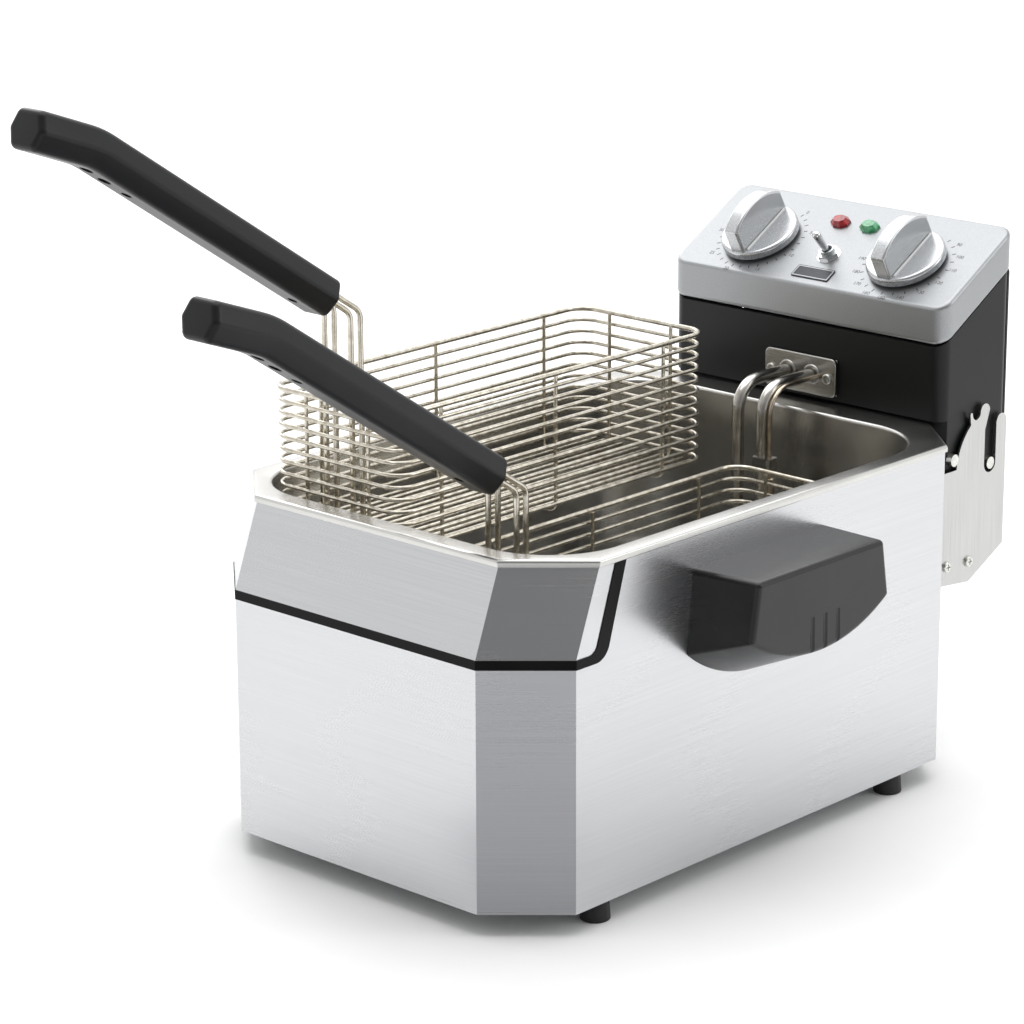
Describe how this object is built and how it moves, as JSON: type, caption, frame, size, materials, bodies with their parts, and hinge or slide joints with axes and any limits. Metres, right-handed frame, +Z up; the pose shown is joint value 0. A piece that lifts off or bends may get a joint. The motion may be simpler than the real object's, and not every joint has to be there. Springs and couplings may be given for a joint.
{
  "type": "deep fryer",
  "caption": "Countertop electric deep fryer: stainless body with drop-in oil tank, sloping control head on rear hinge cheeks, and wire baskets with long angled grips.",
  "frame": {"origin": "on the table, under the middle of the overall box", "axes": "+Z up, -Y towards the user (grips), +X to the user's right"},
  "size_m": [0.374, 0.6769, 0.4822],
  "materials": {
    "brushed_shell": "brushed sheet",
    "black_trim": "semi gloss",
    "galvanised_plate": "galvanised",
    "black_rubber": "matt",
    "zinc_screw": "zinc plated",
    "drawn_tank": "satin drawn",
    "grey_phenolic": "fine grain",
    "bright_bracket": "bright",
    "black_housing": "satin powder coat",
    "silver_bezel": "satin silver",
    "polished_plate": "polished",
    "white_gasket": "silicone",
    "element_steel": "bright annealed",
    "copper_sensor": "nickel plated copper",
    "beige_resin": "moulded",
    "dark_resin": "moulded",
    "chromed_brass": "chrome",
    "red_lens": "translucent",
    "green_lens": "translucent",
    "lamp_glass": "clear",
    "name_foil": "satin",
    "knob_silver": "satin lacquer",
    "shaft_steel": "turned",
    "nickel_wire": "nickel plated",
    "black_grip": "satin"
  },
  "bodies": {
    "housing": {"outer_shell": "brushed_shell", "front_fascia": "brushed_shell", "trim_strip": "black_trim", "base_plate": "galvanised_plate", "rubber_feet": "black_rubber", "foot_screws": "zinc_screw", "oil_tank": "drawn_tank", "side_handle_left": "grey_phenolic", "side_handle_right": "grey_phenolic", "side_handle_screws": "zinc_screw", "hinge_bracket_left": "bright_bracket", "hinge_bracket_right": "bright_bracket", "bracket_tie": "bright_bracket", "bracket_screws": "zinc_screw", "head_housing": "black_housing", "head_bezel": "silver_bezel", "head_back_cover": "black_housing", "back_cover_screws": "zinc_screw", "element_plate": "polished_plate", "element_gasket": "white_gasket", "element_plate_screws": "zinc_screw", "heating_element": "element_steel", "element_stand": "element_steel", "sensor_bulb": "copper_sensor", "sensor_clip": "polished_plate", "timer_mechanism": "beige_resin", "thermostat": "beige_resin", "switch_body": "dark_resin", "switch_nut": "chromed_brass", "indicator_lamps": "lamp_glass", "terminal_block": "beige_resin", "limit_thermostat": "dark_resin", "interlock_switch": "dark_resin", "red_lens": "red_lens", "green_lens": "green_lens", "name_plate": "name_foil", "head_pins": "zinc_screw", "cord_gland": "dark_resin"},
    "timer_dial": {"timer_knob": "knob_silver", "timer_shaft": "shaft_steel"},
    "temperature_dial": {"temperature_knob": "knob_silver", "thermostat_shaft": "shaft_steel"},
    "power_toggle": {"toggle_lever": "chromed_brass"},
    "reset_press": {"reset_button": "dark_resin"},
    "left_basket": {"left_basket_inner_wall": "nickel_wire", "left_basket_outer_wall": "nickel_wire", "left_basket_front_wall": "nickel_wire", "left_basket_rear_wall": "nickel_wire", "left_basket_floor": "nickel_wire", "left_basket_handle_wires": "nickel_wire", "left_basket_grip_upper": "black_grip", "left_basket_grip_lower": "black_grip"},
    "right_basket": {"right_basket_inner_wall": "nickel_wire", "right_basket_outer_wall": "nickel_wire", "right_basket_front_wall": "nickel_wire", "right_basket_rear_wall": "nickel_wire", "right_basket_floor": "nickel_wire", "right_basket_handle_wires": "nickel_wire", "right_basket_grip_upper": "black_grip", "right_basket_grip_lower": "black_grip"}
  },
  "joints": [
    {"name": "left_basket_lift", "type": "slide", "parent": "housing", "child": "left_basket", "axis": [0, 0, 1], "range_m": [-0.083, 0.037]},
    {"name": "right_basket_lift", "type": "slide", "parent": "housing", "child": "right_basket", "axis": [0, 0, 1], "range_m": [0, 0.12]},
    {"name": "timer_turn", "type": "hinge", "parent": "housing", "child": "timer_dial", "pos_m": [-0.06, 0.28445, 0.31559], "axis": [0, -0.4924, 0.8704], "range_deg": [-300, 0]},
    {"name": "temperature_turn", "type": "hinge", "parent": "housing", "child": "temperature_dial", "pos_m": [0.06, 0.28445, 0.31559], "axis": [0, -0.4924, 0.8704], "range_deg": [-270, 0]},
    {"name": "power_toggle_flip", "type": "hinge", "parent": "housing", "child": "power_toggle", "pos_m": [0, 0.27892, 0.31419], "axis": [1, 0, 0], "range_deg": [-26, 0]},
    {"name": "reset_push", "type": "slide", "parent": "housing", "child": "reset_press", "axis": [0, -1, 0], "range_m": [0, 0.0015], "stiffness_N_per_m": 500}
  ]
}
